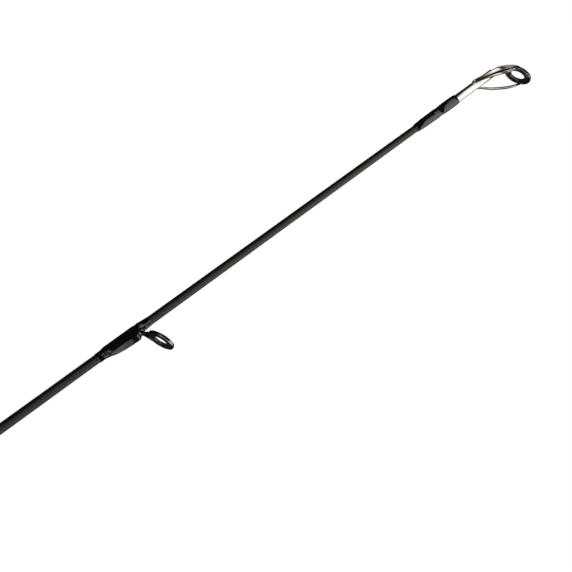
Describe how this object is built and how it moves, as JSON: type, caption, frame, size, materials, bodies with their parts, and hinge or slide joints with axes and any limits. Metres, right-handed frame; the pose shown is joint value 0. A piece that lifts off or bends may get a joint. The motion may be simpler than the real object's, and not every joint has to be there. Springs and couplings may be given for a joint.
{
  "type": "spinning rod",
  "caption": "Take-apart spinning rod with raised ring guides, a tip-top, a split foam grip and a screw-down reel seat.",
  "frame": {"origin": "centre of the butt cap's flat end, on the rod's axis", "axes": "+Z along the rod's axis from the butt to the tip; +X towards the guides and the reel foot; the rod is mirror-symmetric about the XZ plane apart from the hook keeper on the -Y side; at rest the sliding hood is at the butt end of its travel"},
  "size_m": [0.0502, 0.0296, 1.8283],
  "materials": {
    "blank_graphite": "matte charcoal carbon-fibre tube with fine tape ridges",
    "thread_epoxy": "black thread under clear glossy epoxy",
    "stainless": "polished stainless steel",
    "ring_ceramic": "polished black ceramic",
    "eva_foam": "matte closed-cell foam",
    "cap_rubber": "matte black rubber",
    "seat_plastic": "satin black moulded plastic",
    "trim_metal": "gunmetal anodised aluminium",
    "arbor_foam": "rigid foam"
  },
  "bodies": {
    "butt_section": {"butt_blank": "blank_graphite", "butt_cap": "cap_rubber", "rear_grip": "eva_foam", "rear_grip_trim": "trim_metal", "rear_split_wrap": "thread_epoxy", "front_split_wrap": "thread_epoxy", "seat_grip_trim": "trim_metal", "seat_rear_grip": "eva_foam", "reel_seat": "seat_plastic", "fixed_hood": "stainless", "seat_arbor_rear": "arbor_foam", "seat_arbor_front": "arbor_foam", "fore_grip": "eva_foam", "winding_check": "trim_metal", "keeper_wrap": "thread_epoxy", "hook_keeper": "stainless", "guide_6_frame": "stainless", "guide_6_ring": "ring_ceramic", "guide_6_front_wrap": "thread_epoxy", "guide_6_back_wrap": "thread_epoxy"},
    "tip_section": {"tip_blank": "blank_graphite", "ferrule_wrap": "thread_epoxy", "tip_top_tube": "stainless", "tip_top_frame": "stainless", "tip_top_ring": "ring_ceramic", "tip_top_wrap": "thread_epoxy", "guide_1_frame": "stainless", "guide_1_ring": "ring_ceramic", "guide_1_wrap": "thread_epoxy", "guide_2_frame": "stainless", "guide_2_ring": "ring_ceramic", "guide_2_wrap": "thread_epoxy", "guide_3_frame": "stainless", "guide_3_ring": "ring_ceramic", "guide_3_wrap": "thread_epoxy", "guide_4_frame": "stainless", "guide_4_ring": "ring_ceramic", "guide_4_wrap": "thread_epoxy", "guide_5_frame": "stainless", "guide_5_ring": "ring_ceramic", "guide_5_front_wrap": "thread_epoxy", "guide_5_back_wrap": "thread_epoxy"},
    "hood": {"sliding_hood": "seat_plastic", "sliding_hood_band": "stainless"},
    "nut": {"locking_nut": "seat_plastic", "locking_nut_trim": "trim_metal"}
  },
  "joints": [
    {"name": "tip_section_slide", "type": "slide", "parent": "butt_section", "child": "tip_section", "axis": [0, 0, 1], "range_m": [0, 0.07]},
    {"name": "hood_slide", "type": "slide", "parent": "butt_section", "child": "hood", "axis": [0, 0, 1], "range_m": [0, 0.02]},
    {"name": "nut_turn", "type": "hinge", "parent": "hood", "child": "nut", "pos_m": [0, 0, 0.38], "axis": [0, 0, 1], "range_deg": [0, 3600]}
  ],
  "couplings": [
    {"joint": "hood_slide", "follows": "nut_turn", "m_per_rad": 0.0003183}
  ]
}
